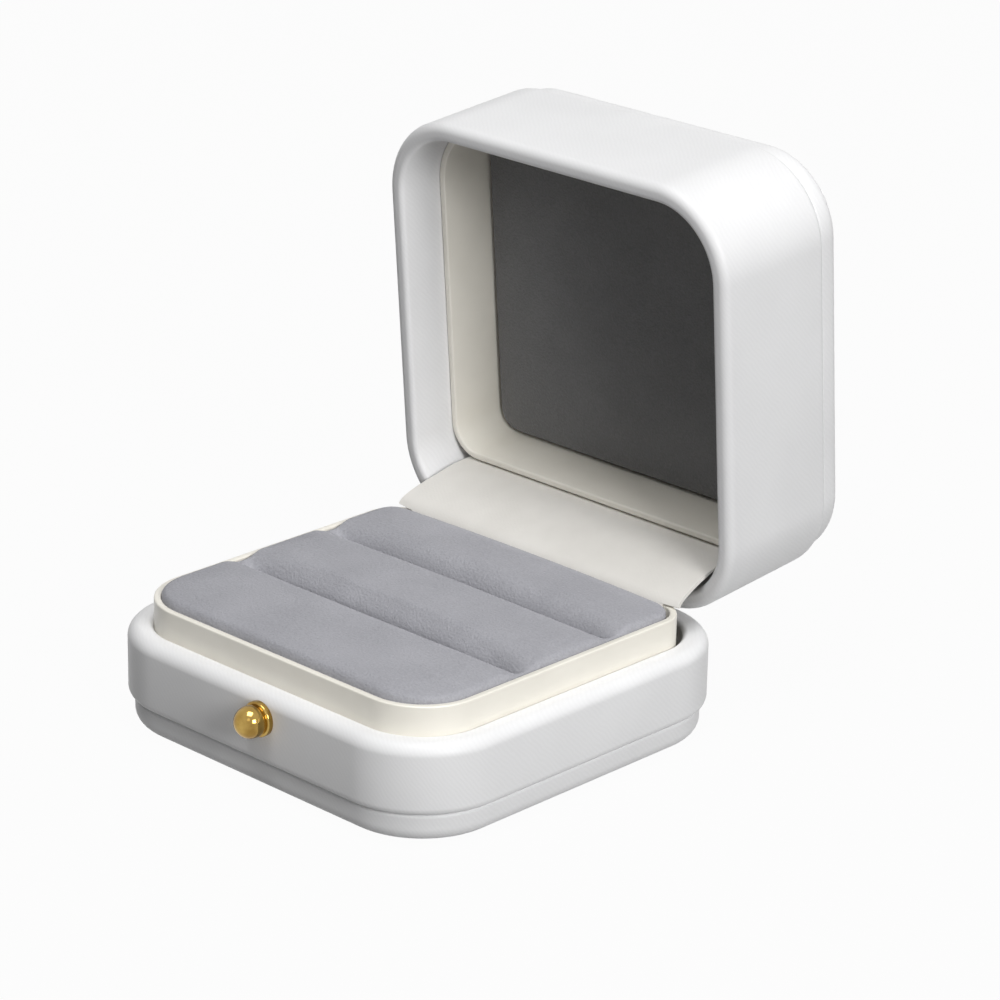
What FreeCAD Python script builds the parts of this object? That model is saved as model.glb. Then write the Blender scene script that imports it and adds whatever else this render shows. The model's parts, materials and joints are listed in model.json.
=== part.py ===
import FreeCAD, Part
import math
import os

from FreeCAD import Vector

# A jewelry box for rings, modelled with its lid open, in millimetres.
# X runs along the front, Y towards the hinge, Z up, from the middle of the underside.

# Outside of the box
box_width = 72.0
box_depth = 70.0
corner_radius = 14.4
base_height = 15.8
lid_height = 27.3
lid_inset = 0.8
rim_gap = 0.4
open_angle = 85.0

# Round edges are drawn as a few flats each, which keeps the corners light
rim_flat_count = 6
edge_flat_count = 3
seam_flat_count = 2
ball_flat_count = 7

# Leatherette wrap over the moulded cores
skin = 0.7
base_core_wall = 2.6
lid_core_wall = 1.5
core_floor = 1.5
seam_radius = 1.3
turn_in_gap = 1.0
turn_under = 6.0

# Bottom and top panels
panel_height = 4.6
panel_inset = 1.0
panel_edge_radius = 2.3
panel_seam = 0.5

# Ivory collars that line the base and the lid
glue = 0.05
collar_thickness = 1.1
collar_bevel = 0.35
base_collar_stand = 5.0
lid_collar_depth = 8.4
hinge_space = 4.5
collar_rear_radius = 5.5

# Ring cushion
pad_board_thickness = 1.5
pad_clearance = 0.3
pad_crest = 1.3
pad_crown_radius = 480.0
pad_edge_radius = 1.3
velvet = 0.6
channel_places = (-8.6, 10.4)
channel_depth = 6.5
channel_end_depth = 1.2
channel_width = 0.8
channel_fade = 11.0
shoulder_radius = 3.8
shoulder_break = 0.12

# Pad inside the lid
lid_board_thickness = 2.3
lid_pad_bevel = 0.5

# Ball stud on the front
stud_offset = 2.6
stud_drop = 3.8
ball_radius = 2.5
ball_stand = 2.0
shank_radius = 0.9
ferrule_radius = 2.75
ferrule_thickness = 0.9
ferrule_bevel = 0.35
stud_play = 0.1

# Snap hinge behind the collars
hinge_width = 32.0
leaf_thickness = 0.5
leaf_seat = 0.1
leaf_length = 9.0
end_knuckle = 6.0
knuckle_gap = 0.15
pin_radius = 0.5
pin_play = 0.08
cam_width = 8.0
spring_width = 6.4
spring_thickness = 0.35
spring_foot = 7.6
stake_radius = 0.8
stake_head_radius = 1.5
stake_head = 0.5
stake_places = (-10.0, 10.0)
stake_drop = 5.6
hinge_clearance = 0.3

# Flexible strip that hides the hinge
flap_side = 6.8
flap_shoulder = 4.8
flap_tail_side = 9.0
flap_thickness = 0.6
flap_tail = 8.0
flap_lid_tail = 5.0
flap_rise = 0.8

# Places worked out from the sizes above
closed_height = base_height + rim_gap + lid_height
base_wall = base_core_wall + 2 * skin
lid_wall = lid_core_wall + 2 * skin
core_underside = panel_height + skin
floor_level = core_underside + core_floor
collar_top = base_height + base_collar_stand
collar_inset = base_wall + glue
collar_rear = base_wall + hinge_space
pad_inset = collar_inset + collar_thickness + pad_clearance
flap_room = collar_rear + collar_thickness + glue
pad_rear = flap_room + flap_thickness + pad_clearance
pad_rear_radius = collar_rear_radius - collar_thickness - pad_clearance
pad_floor = floor_level + pad_board_thickness
pad_top = collar_top + pad_crest
lid_collar_inset = lid_inset + lid_wall + glue
lid_rim = base_height + rim_gap
axis_y = box_depth / 2 - lid_wall / 2
axis_z = lid_rim + lid_wall / 2
knuckle_radius = lid_core_wall / 2 + leaf_thickness - leaf_seat
cam_reach = knuckle_radius / math.cos(math.radians(open_angle / 2))
leaf_front = axis_y - knuckle_radius
leaf_back = leaf_front + leaf_thickness
front_face = -box_depth / 2
stud_height = base_height - stud_drop


def slab(inset, low, high, rear_inset=None, rear_radius=None):
    """Rounded block that follows the box's outline, drawn in by an inset, with its own rear if need be."""
    radius = corner_radius - inset
    if rear_inset is None:
        rear_inset = inset
    if rear_radius is None:
        rear_radius = radius
    width = box_width - 2 * inset
    depth = box_depth - inset - rear_inset
    block = Part.makeBox(width, depth, high - low, Vector(-width / 2, front_face + inset, low))
    upright = [edge for edge in block.Edges if edge.BoundBox.ZLength > (high - low) / 2]
    block = block.makeFillet(radius, [edge for edge in upright if edge.BoundBox.YMax < 0])
    upright = [edge for edge in block.Edges if edge.BoundBox.ZLength > (high - low) / 2]
    return block.makeFillet(rear_radius, [edge for edge in upright if edge.BoundBox.YMax > 0])


def bevel_level(shape, level, size):
    """Bevel every edge that lies flat at one height."""
    loop = []
    for edge in shape.Edges:
        box = edge.BoundBox
        if abs(box.ZMin - level) < 1e-4 and abs(box.ZMax - level) < 1e-4:
            loop.append(edge)
    return shape.makeChamfer(size, loop)


def rounded(inset, height, radius, start, end, flats):
    """Profile points of a round edge, drawn as a few flats between two angles in degrees."""
    points = []
    for step in range(flats + 1):
        angle = math.radians(start + (end - start) * step / flats)
        points.append((inset + radius * math.cos(angle), height + radius * math.sin(angle)))
    return points


def ring(profile, inset=0.0, rear=0.0, rear_reach=None):
    """Sweep a closed profile round the box's outline, drawn in at the front and sides, and at the rear.

    A reach is how far a corner's centre lies inside the outline.
    """
    reach = corner_radius - inset
    if rear_reach is None:
        rear_reach = reach
    side = box_width / 2 - inset - reach
    rear_side = box_width / 2 - inset - rear_reach
    front = front_face + inset + reach
    back = box_depth / 2 - rear - rear_reach
    corners = [(side, front, reach), (rear_side, back, rear_reach)]
    corners += [(-rear_side, back, rear_reach), (-side, front, reach)]
    swept = []
    for index, (x, y, turn) in enumerate(corners):
        next_x, next_y = corners[(index + 1) % 4][:2]
        points = [Vector(turn - across, 0, height) for across, height in profile]
        start = Part.Face(Part.makePolygon(points + points[:1]))
        start.rotate(Vector(0, 0, 0), Vector(0, 0, 1), 90 * index - 90)
        start.translate(Vector(x, y, 0))
        swept.append(start.revolve(Vector(x, y, 0), Vector(0, 0, 1), 90))
        start.rotate(Vector(x, y, 0), Vector(0, 0, 1), 90)
        along = Vector(next_x - x, 0, 0) if index % 2 else Vector(0, next_y - y, 0)
        swept.append(start.extrude(along))
    return swept[0].fuse(swept[1:]).removeSplitter()


def cross_rod(radius, half_length, y, z):
    """Round rod along X, centred on the box."""
    return Part.makeCylinder(radius, 2 * half_length, Vector(-half_length, y, z), Vector(1, 0, 0))


def cross_plate(half_length, y_low, y_high, z_low, z_high):
    """Flat plate along X, centred on the box."""
    corner = Vector(-half_length, y_low, z_low)
    return Part.makeBox(2 * half_length, y_high - y_low, z_high - z_low, corner)


def opened(shape):
    """Swing a piece of the shut lid open about the hinge."""
    turned = shape.copy()
    turned.rotate(Vector(0, axis_y, axis_z), Vector(1, 0, 0), -open_angle)
    return turned


def turned_over(shape):
    """Turn a tray that stands on its panel into the place of the shut lid."""
    return shape.mirror(Vector(0, 0, closed_height / 2), Vector(0, 0, 1))


# Trays: a moulded core in a leatherette wrap


def tray_core(height, core_wall, inset=0.0):
    """Moulded cup, drawn in at the front and sides."""
    lining = skin + core_wall
    core = slab(inset + skin, core_underside, height - skin, skin)
    return core.cut(slab(inset + lining, floor_level, height, lining))


def tray_cover(height, core_wall, inset=0.0):
    """Wrap from under the core's floor, up its wall, over the rim and down inside it."""
    wall = core_wall + 2 * skin
    under = seam_radius + turn_under
    profile = [(under, core_underside), (under, panel_height)]
    profile += rounded(seam_radius, panel_height + seam_radius, seam_radius, 270, 180, seam_flat_count)
    profile += rounded(wall / 2, height - wall / 2, wall / 2, 180, 0, rim_flat_count)
    profile += [(wall, floor_level + turn_in_gap), (wall - skin, floor_level + turn_in_gap)]
    profile += [(wall - skin, height - skin), (skin, height - skin), (skin, core_underside)]
    return ring(profile, inset)


def panel(inset=0.0):
    """Wrapped board with a full lower edge and a small bevel at the seam."""
    flat = panel_inset + panel_edge_radius
    profile = [(flat, panel_height)]
    profile += rounded(flat, panel_edge_radius, panel_edge_radius, 270, 180, edge_flat_count)
    profile += [(panel_inset, panel_height - panel_seam), (panel_inset + panel_seam, panel_height)]
    middle = slab(inset + flat, 0, panel_height, flat)
    return ring(profile, inset).fuse(middle).removeSplitter()


def collar(inset, high):
    """Upright band that stands on the floor of a tray."""
    band = slab(inset, floor_level, high, collar_rear, collar_rear_radius)
    inner_radius = collar_rear_radius - collar_thickness
    inner = slab(inset + collar_thickness, floor_level, high, collar_rear + collar_thickness, inner_radius)
    return bevel_level(band.cut(inner), high, collar_bevel)


# Ring cushion: three foam rolls under one velvet


def channel(place, offset):
    """Cutter for one ring slot between round shoulders, with a floor that climbs at both ends."""
    low = pad_top - channel_depth - offset
    half_slot = channel_width / 2 + offset
    shoulder_y = channel_width / 2 + shoulder_radius
    shoulder_z = pad_top - shoulder_radius + shoulder_break
    radius = shoulder_radius - offset
    high = pad_top + shoulder_radius
    lean = math.sqrt(0.5) * radius
    run = box_width / 2 - pad_inset
    fade_start = run - channel_fade

    def at(y, z):
        return Vector(-run, place + y, z)

    edges = [Part.LineSegment(at(-half_slot, low), at(half_slot, low)).toShape()]
    edges.append(Part.LineSegment(at(half_slot, low), at(half_slot, shoulder_z)).toShape())
    edges.append(Part.Arc(at(half_slot, shoulder_z), at(shoulder_y - lean, shoulder_z + lean),
                          at(shoulder_y, shoulder_z + radius)).toShape())
    edges.append(Part.LineSegment(at(shoulder_y, shoulder_z + radius), at(shoulder_y, high)).toShape())
    edges.append(Part.LineSegment(at(shoulder_y, high), at(-shoulder_y, high)).toShape())
    edges.append(Part.LineSegment(at(-shoulder_y, high), at(-shoulder_y, shoulder_z + radius)).toShape())
    edges.append(Part.Arc(at(-shoulder_y, shoulder_z + radius), at(lean - shoulder_y, shoulder_z + lean),
                          at(-half_slot, shoulder_z)).toShape())
    edges.append(Part.LineSegment(at(-half_slot, shoulder_z), at(-half_slot, low)).toShape())
    cutter = Part.Face(Part.Wire(edges)).extrude(Vector(2 * run, 0, 0))
    for side in (-1, 1):
        ramp = [Vector(side * fade_start, place - shoulder_y, low)]
        ramp.append(Vector(side * run, place - shoulder_y, low))
        ramp.append(Vector(side * run, place - shoulder_y, pad_top - channel_end_depth - offset))
        wedge = Part.Face(Part.makePolygon(ramp + ramp[:1])).extrude(Vector(0, 2 * shoulder_y, 0))
        cutter = cutter.cut(wedge)
    return cutter


def cushion(offset):
    """Pad with a crown, drawn-in sides and its channels, drawn in all round by an offset."""
    inset = pad_inset + offset
    radius = pad_edge_radius - offset
    top = pad_top - offset
    brow = inset + radius
    rear = pad_rear - pad_inset
    profile = [(brow, pad_floor), (inset, pad_floor)]
    profile += rounded(brow, top - radius, radius, 180, 90, edge_flat_count)
    middle = slab(brow, pad_floor, top, brow + rear, pad_rear_radius - pad_edge_radius)
    pad = ring(profile, rear=rear, rear_reach=pad_inset + pad_rear_radius).fuse(middle).removeSplitter()
    crown_centre = Vector(0, front_face, pad_top - pad_crown_radius)
    crown = Part.makeCylinder(pad_crown_radius - offset, box_depth, crown_centre, Vector(0, 1, 0))
    pad = pad.common(crown)
    for place in channel_places:
        pad = pad.cut(channel(place, offset))
    return pad


def foam_rolls():
    """Foam of the cushion, slit along each channel into separate rolls."""
    foam = cushion(velvet)
    slit = channel_width / 2 + velvet
    for place in channel_places:
        foam = foam.cut(cross_plate(box_width / 2, place - slit, place + slit, pad_floor, pad_top))
    return sorted(foam.Solids, key=lambda roll: roll.CenterOfMass.y)


def pad_board(inset, rear_inset, thickness):
    """Stiff board with clipped corners that closes the floor inside a collar."""
    half = box_width / 2 - inset
    front = front_face + inset
    back = box_depth / 2 - rear_inset
    clip = corner_radius - inset
    outline = []
    for x, y in ((half, front), (half, back), (-half, back), (-half, front)):
        along_x = Vector(x - math.copysign(clip, x), y, floor_level)
        along_y = Vector(x, y - math.copysign(clip, y), floor_level)
        outline += [along_x, along_y] if x * y < 0 else [along_y, along_x]
    return Part.Face(Part.makePolygon(outline + outline[:1])).extrude(Vector(0, 0, thickness))


# Pad inside the lid


def lid_pad_layers():
    """Board and velvet of the lid's pad, standing on the tray's floor."""
    inset = lid_collar_inset + collar_thickness + pad_clearance
    rear = collar_rear + collar_thickness + pad_clearance
    top = floor_level + lid_board_thickness + velvet
    board = pad_board(inset + velvet, rear + velvet, lid_board_thickness)
    cover = bevel_level(slab(inset, floor_level, top, rear, pad_rear_radius), top, lid_pad_bevel)
    return board, cover.cut(board)


# Ball stud


def front_rod(radius, start, length):
    """Round rod along Y at the stud, with its start measured inwards from the front face."""
    base = Vector(stud_offset, front_face + start, stud_height)
    return Part.makeCylinder(radius, length, base, Vector(0, 1, 0))


def ball_stud():
    """Ball with a flat seat on its ferrule, and a shank, turned from one bar."""
    seat = math.degrees(math.asin((ball_stand - ferrule_thickness) / ball_radius))
    profile = [(0, skin + base_core_wall), (0, -ball_stand - ball_radius)]
    profile += rounded(0, -ball_stand, ball_radius, -90, seat, ball_flat_count)[1:]
    profile += [(shank_radius, -ferrule_thickness), (shank_radius, skin + base_core_wall)]
    points = [Vector(stud_offset + out, front_face + y, stud_height) for out, y in profile]
    turning = Part.Face(Part.makePolygon(points + points[:1]))
    return turning.revolve(Vector(stud_offset, front_face, stud_height), Vector(0, 1, 0), 360)


def stud_ferrule():
    """Ring between the ball and the wrap."""
    disc = front_rod(ferrule_radius, -ferrule_thickness, ferrule_thickness)
    front = [edge for edge in disc.Edges if edge.BoundBox.YMax < front_face - ferrule_thickness / 2]
    disc = disc.makeChamfer(ferrule_bevel, front)
    return disc.cut(front_rod(shank_radius + stud_play, -ferrule_thickness, ferrule_thickness))


def stud_bore():
    """Hole for the shank through the wrap and the core."""
    return front_rod(shank_radius + stud_play, -skin, 2 * skin + base_core_wall)


# Snap hinge


def stake(x, level):
    """Moulded pin, headed over after the leaf is set."""
    pin = Part.makeCylinder(stake_radius, leaf_thickness, Vector(x, leaf_front, level), Vector(0, 1, 0))
    start = Vector(x, leaf_front - stake_head, level)
    return pin.fuse(Part.makeCylinder(stake_head_radius, stake_head, start, Vector(0, 1, 0)))


def stake_hole(x, level):
    """Hole in a leaf for a moulded pin."""
    start = Vector(x, leaf_front - leaf_thickness, level)
    return Part.makeCylinder(stake_radius + pin_play, 3 * leaf_thickness, start, Vector(0, 1, 0))


def pin_bore():
    """Bore for the hinge pin through every knuckle."""
    return cross_rod(pin_radius + pin_play, hinge_width, axis_y, axis_z)


def knuckle_pair():
    """The base's two end knuckles."""
    knuckles = []
    for start in (-hinge_width / 2, hinge_width / 2 - end_knuckle):
        centre = Vector(start, axis_y, axis_z)
        knuckles.append(Part.makeCylinder(knuckle_radius, end_knuckle, centre, Vector(1, 0, 0)))
        corner = Vector(start, leaf_front, axis_z - leaf_length)
        knuckles.append(Part.makeBox(end_knuckle, leaf_thickness, leaf_length, corner))
    return knuckles


def base_leaf():
    """Hinge leaf in the rear wall of the base, with an ear and a knuckle at each end."""
    top = axis_z - cam_reach - hinge_clearance
    plate = cross_plate(hinge_width / 2, leaf_front, leaf_back, axis_z - leaf_length, top)
    leaf = plate.fuse(knuckle_pair()).removeSplitter()
    return leaf.cut([pin_bore()] + [stake_hole(x, axis_z - stake_drop) for x in stake_places])


def lid_leaf():
    """Hinge leaf in the rear wall of the lid, with a middle knuckle that carries the cam."""
    half_knuckle = hinge_width / 2 - end_knuckle - knuckle_gap
    low = axis_z + knuckle_radius + hinge_clearance
    plate = cross_plate(hinge_width / 2, leaf_front, leaf_back, low, axis_z + leaf_length)
    neck = cross_plate(half_knuckle, leaf_front, leaf_back, axis_z, low)
    knuckle = cross_rod(knuckle_radius, half_knuckle, axis_y, axis_z)
    leaf = plate.fuse([neck, knuckle, snap_cam()]).removeSplitter()
    return leaf.cut([pin_bore()] + [stake_hole(x, axis_z + stake_drop) for x in stake_places])


def snap_cam():
    """Two flats on the middle knuckle: one faces the spring when shut, the other when open."""
    turn = math.radians(open_angle)
    flat = knuckle_radius - pin_play / 2
    reach = flat / math.cos(turn / 2)
    corners = [(0, 0), (-flat, 0)]
    corners.append((-reach * math.cos(turn / 2), -reach * math.sin(turn / 2)))
    corners.append((-flat * math.cos(turn), -flat * math.sin(turn)))
    points = [Vector(-cam_width / 2, axis_y + y, axis_z + z) for y, z in corners]
    return Part.Face(Part.makePolygon(points + points[:1])).extrude(Vector(cam_width, 0, 0))


def hinge_pin():
    """Plain pin, as long as the knuckles."""
    return cross_rod(pin_radius, hinge_width / 2, axis_y, axis_z)


def snap_spring():
    """Flat spring, welded to the base's leaf, whose free end bears on the cam."""
    low = axis_z - spring_foot
    high = axis_z + cam_reach / 2
    return cross_plate(spring_width / 2, leaf_front - spring_thickness, leaf_front, low, high)


def base_pocket():
    """Room for the hinge in the base: the wrap's lining and the inner half of the rim."""
    half = hinge_width / 2 + hinge_clearance
    low = axis_z - leaf_length - hinge_clearance
    return cross_plate(half, box_depth / 2 - collar_rear, leaf_back, low, base_height + rim_gap)


def lid_pocket():
    """Room for the hinge in the shut lid: a notch for the knuckles, and the leaf's seat."""
    half = hinge_width / 2 + hinge_clearance
    top = axis_z + knuckle_radius + hinge_clearance
    inside = box_depth / 2 - collar_rear
    notch = cross_plate(half, inside, box_depth / 2 + skin, lid_rim - rim_gap, top)
    seat = cross_plate(half, inside, leaf_back, lid_rim, axis_z + leaf_length + hinge_clearance)
    return notch.fuse(seat)


def base_core():
    """Core of the base, with the hinge's seat and stakes and the stud's bore."""
    core = tray_core(base_height, base_core_wall).cut(base_pocket()).cut(stud_bore())
    return core.fuse([stake(x, axis_z - stake_drop) for x in stake_places])


def lid_core():
    """Core of the lid in its shut place, with the hinge's notch and stakes."""
    core = turned_over(tray_core(lid_height, lid_core_wall, lid_inset)).cut(lid_pocket())
    return core.fuse([stake(x, axis_z + stake_drop) for x in stake_places])


def base_cover():
    """Wrap of the base, cut back for the hinge and the stud."""
    return tray_cover(base_height, base_core_wall).cut(base_pocket()).cut(stud_bore())


def lid_cover():
    """Wrap of the lid in its shut place, cut back for the hinge."""
    return turned_over(tray_cover(lid_height, lid_core_wall, lid_inset)).cut(lid_pocket())


# Hinge cover


def beside(points, distance):
    """Points of a line moved sideways, with mitred corners."""
    moved = []
    for index, point in enumerate(points):
        before = points[max(index - 1, 0)]
        after = points[min(index + 1, len(points) - 1)]
        first = (point - before) if index else (after - point)
        second = (after - point) if index < len(points) - 1 else first
        first.normalize()
        second.normalize()
        mitre = Vector(0, -first.z - second.z, first.y + second.y)
        mitre.normalize()
        moved.append(point + mitre * (distance / (mitre.y * -first.z + mitre.z * first.y)))
    return moved


def hinge_cover():
    """Flexible strip from inside the base's collar, over its rear wall and the hinge, into the lid."""
    half = flap_thickness / 2
    low = collar_top + rim_gap
    base_y = box_depth / 2 - flap_room - half
    lid_y = box_depth / 2 - collar_rear + hinge_clearance + half
    start = Vector(0, base_y, collar_top - flap_tail)
    brow = Vector(0, base_y, low)
    lid_edge = opened(Part.Vertex(0, lid_y, lid_rim + lid_collar_depth)).Point
    lid_end = opened(Part.Vertex(0, lid_y, lid_rim + lid_collar_depth + flap_lid_tail)).Point
    across = lid_edge - brow
    lift = Vector(0, -across.z, across.y)
    lift.normalize()
    middle = (brow + lid_edge) * 0.5 + lift * flap_rise
    line = [start, brow, middle, lid_edge, lid_end]
    near = beside(line, half)
    far = beside(line, -half)
    edges = [Part.LineSegment(near[0], near[1]).toShape(), Part.Arc(near[1], near[2], near[3]).toShape()]
    edges += [Part.LineSegment(near[3], near[4]).toShape(), Part.LineSegment(near[4], far[4]).toShape()]
    edges += [Part.LineSegment(far[4], far[3]).toShape(), Part.Arc(far[3], far[2], far[1]).toShape()]
    edges += [Part.LineSegment(far[1], far[0]).toShape(), Part.LineSegment(far[0], near[0]).toShape()]
    strip = Part.Face(Part.Wire(edges)).extrude(Vector(box_width, 0, 0))
    strip.translate(Vector(-box_width / 2, 0, 0))
    narrow = box_width / 2 - flap_side
    wide = box_width / 2 - flap_shoulder
    right = [Vector(wide, 0, low), Vector(wide, base_y + half, low)]
    right += [Vector(narrow, axis_y, low), Vector(narrow, box_depth, low)]
    left = [Vector(-point.x, point.y, low) for point in reversed(right)]
    plan = Part.Face(Part.makePolygon(right + left + right[:1])).extrude(Vector(0, 0, box_depth))
    tail = cross_plate(box_width / 2 - flap_tail_side, 0, box_depth, 0, low)
    return strip.common(plan.fuse(tail))


def build():
    """Every piece of the box by name, with the lid open."""
    pieces = {
        "base_core": base_core(),
        "base_cover": base_cover(),
        "bottom_panel": panel(),
        "base_collar": collar(collar_inset, collar_top),
        "ring_pad_board": pad_board(pad_inset, pad_rear, pad_board_thickness),
        "ring_pad_velvet": cushion(0).cut(cushion(velvet)),
        "ball_stud": ball_stud(),
        "stud_ferrule": stud_ferrule(),
        "hinge_base_leaf": base_leaf(),
        "hinge_pin": hinge_pin(),
        "snap_spring": snap_spring(),
        "hinge_cover": hinge_cover(),
    }
    for name, roll in zip(("front", "middle", "rear"), foam_rolls()):
        pieces["foam_roll_" + name] = roll

    board, velvet_cover = lid_pad_layers()
    lid_collar = collar(lid_collar_inset, lid_height - lid_collar_depth)
    shut_lid = {
        "lid_core": lid_core(),
        "lid_cover": lid_cover(),
        "top_panel": turned_over(panel(lid_inset)),
        "lid_collar": turned_over(lid_collar),
        "lid_pad_board": turned_over(board),
        "lid_pad_velvet": turned_over(velvet_cover),
        "hinge_lid_leaf": lid_leaf(),
    }
    for name, shape in shut_lid.items():
        pieces[name] = opened(shape)
    return pieces


os.makedirs("parts", exist_ok=True)
for name, shape in build().items():
    shape.exportStep("parts/" + name + ".step")
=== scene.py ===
import json
import math

import bmesh
import bpy
from mathutils import Matrix, Vector


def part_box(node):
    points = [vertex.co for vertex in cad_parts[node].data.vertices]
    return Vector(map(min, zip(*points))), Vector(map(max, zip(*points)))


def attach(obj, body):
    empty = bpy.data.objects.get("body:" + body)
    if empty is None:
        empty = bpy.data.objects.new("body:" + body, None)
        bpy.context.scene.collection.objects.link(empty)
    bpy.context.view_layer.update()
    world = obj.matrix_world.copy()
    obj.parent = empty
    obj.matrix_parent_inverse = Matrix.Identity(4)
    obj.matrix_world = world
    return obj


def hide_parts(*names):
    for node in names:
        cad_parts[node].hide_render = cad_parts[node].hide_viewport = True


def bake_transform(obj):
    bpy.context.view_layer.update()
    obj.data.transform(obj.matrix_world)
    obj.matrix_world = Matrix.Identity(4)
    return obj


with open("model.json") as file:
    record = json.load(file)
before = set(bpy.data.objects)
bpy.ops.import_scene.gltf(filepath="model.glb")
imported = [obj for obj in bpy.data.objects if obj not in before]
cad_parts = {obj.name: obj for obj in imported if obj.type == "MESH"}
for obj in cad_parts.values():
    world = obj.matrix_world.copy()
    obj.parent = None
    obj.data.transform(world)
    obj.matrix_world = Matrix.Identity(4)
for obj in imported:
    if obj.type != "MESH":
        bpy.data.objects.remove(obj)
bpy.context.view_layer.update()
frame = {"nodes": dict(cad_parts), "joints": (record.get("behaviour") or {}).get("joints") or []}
nodes = frame["nodes"]
scene = bpy.context.scene
mm = 0.001  # sizes below are written in millimetres

# The hinge, from the record: the lid stands open at rest
hinge = frame["joints"][0]
axisPoint = Vector(hinge["pos_m"])
openTurn = Matrix.Rotation(-math.radians(hinge["range_deg"][1]), 4, "X")
openLid = Matrix.Translation(axisPoint) @ openTurn @ Matrix.Translation(-axisPoint)
shutLid = openLid.inverted()


def shutBox(node):  # a lid node's corners as if the lid were shut
    points = [shutLid @ vertex.co for vertex in nodes[node].data.vertices]
    low = Vector([min(p[i] for p in points) for i in range(3)])
    high = Vector([max(p[i] for p in points) for i in range(3)])
    return low, high


def turnOver(level):  # hangs what is drawn face up from zero face down from a level
    return Matrix.Translation((0, 0, level)) @ Matrix.Diagonal((1, 1, -1, 1))


boxLow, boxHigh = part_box("base_cover")
lidLow, lidHigh = shutBox("lid_cover")
cornerRadius = 14.4 * mm


def radiusInside(high):  # corner radius of an outline that is drawn in from the box's own
    return cornerRadius - (boxHigh.x - high.x)


print("frame loaded, box is %.1f x %.1f mm" % (2000 * boxHigh.x, 2000 * boxHigh.y))


# Shader groups

def addNode(tree, kind, place=(0, 0), **settings):
    node = tree.nodes.new(kind)
    node.location = place
    for key, value in settings.items():
        setattr(node, key, value)
    return node


def feed(tree, source, target):
    tree.links.new(source, target)


def setInput(tree, value, socket):  # a number is set, an output is linked
    if isinstance(value, (int, float)):
        socket.default_value = value
    else:
        feed(tree, value, socket)


def newGroup(name, inputs, outputs):
    group = bpy.data.node_groups.new(name, "ShaderNodeTree")
    for label, kind, value in inputs:
        socket = group.interface.new_socket(label, in_out="INPUT", socket_type=kind)
        if value is not None:
            socket.default_value = value
    for label, kind in outputs:
        group.interface.new_socket(label, in_out="OUTPUT", socket_type=kind)
    given = addNode(group, "NodeGroupInput", (-900, 0))
    result = addNode(group, "NodeGroupOutput", (700, 0))
    return group, given.outputs, result.inputs


def mathNode(tree, operation, first, second, place=(0, 0)):
    node = addNode(tree, "ShaderNodeMath", place, operation=operation)
    setInput(tree, first, node.inputs[0])
    setInput(tree, second, node.inputs[1])
    return node.outputs[0]


def noiseNode(tree, vector, scale, detail, place=(0, 0)):
    node = addNode(tree, "ShaderNodeTexNoise", place)
    node.inputs["Detail"].default_value = detail
    feed(tree, vector, node.inputs["Vector"])
    setInput(tree, scale, node.inputs["Scale"])
    return node.outputs[0]


embossSizes = {
    "linePitch": 0.55 * mm, "lineDepth": 0.6, "pebble": 0.5, "slant": (0.577, 0.577, 0.577),
    "waverScale": 420.0, "waver": 1.6, "breakScale": 900.0, "pebbleScale": 2600.0,
}


def silkLineGroup():
    # fine slanting emboss over a soft pebble, as on pearl leatherette
    sizes = embossSizes
    group, given, result = newGroup(
        "silkLine",
        [("Vector", "NodeSocketVector", None),
         ("Line Pitch", "NodeSocketFloat", sizes["linePitch"]),
         ("Line Depth", "NodeSocketFloat", sizes["lineDepth"]),
         ("Pebble", "NodeSocketFloat", sizes["pebble"])],
        [("Height", "NodeSocketFloat"), ("Shade", "NodeSocketFloat")])
    vector = given["Vector"]
    slant = addNode(group, "ShaderNodeVectorMath", (-700, 200), operation="DOT_PRODUCT")
    slant.inputs[1].default_value = sizes["slant"]
    feed(group, vector, slant.inputs[0])
    turns = mathNode(group, "DIVIDE", slant.outputs["Value"], given["Line Pitch"], (-500, 200))
    waver = noiseNode(group, vector, sizes["waverScale"], 2.0, (-700, -50))
    sway = mathNode(group, "MULTIPLY", waver, sizes["waver"], (-500, 0))
    bent = mathNode(group, "ADD", turns, sway, (-300, 200))
    angle = mathNode(group, "MULTIPLY", bent, 2 * math.pi, (-150, 200))
    line = mathNode(group, "SINE", angle, 0, (0, 200))
    breaks = noiseNode(group, vector, sizes["breakScale"], 1.0, (-300, -150))
    broken = mathNode(group, "MULTIPLY", line, breaks, (150, 200))
    raised = mathNode(group, "MULTIPLY", broken, given["Line Depth"], (300, 200))
    pebble = noiseNode(group, vector, sizes["pebbleScale"], 3.0, (-300, -400))
    grained = mathNode(group, "MULTIPLY", pebble, given["Pebble"], (150, -200))
    feed(group, mathNode(group, "ADD", raised, grained, (450, 100)), result["Height"])
    halved = mathNode(group, "MULTIPLY", broken, 0.5, (300, -50))
    feed(group, mathNode(group, "ADD", halved, 0.5, (450, -50)), result["Shade"])
    return group


def mottleGroup():
    # slow patches and fine specks that break up a plain colour
    group, given, result = newGroup(
        "mottle",
        [("Vector", "NodeSocketVector", None), ("Patch Scale", "NodeSocketFloat", 60.0),
         ("Speck Scale", "NodeSocketFloat", 1500.0)],
        [("Patch", "NodeSocketFloat"), ("Speck", "NodeSocketFloat")])
    for label, detail, level in (("Patch", 3.0, 150), ("Speck", 2.0, -150)):
        noise = noiseNode(group, given["Vector"], given[label + " Scale"], detail, (-300, level))
        feed(group, noise, result[label])
    return group


silkLine = silkLineGroup()
mottle = mottleGroup()


# Materials

def startMaterial(name):
    material = bpy.data.materials.new(name)
    material.use_nodes = True
    tree = material.node_tree
    coordinates = addNode(tree, "ShaderNodeTexCoord", (-1300, 0))
    return material, tree, coordinates.outputs["Object"]


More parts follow.
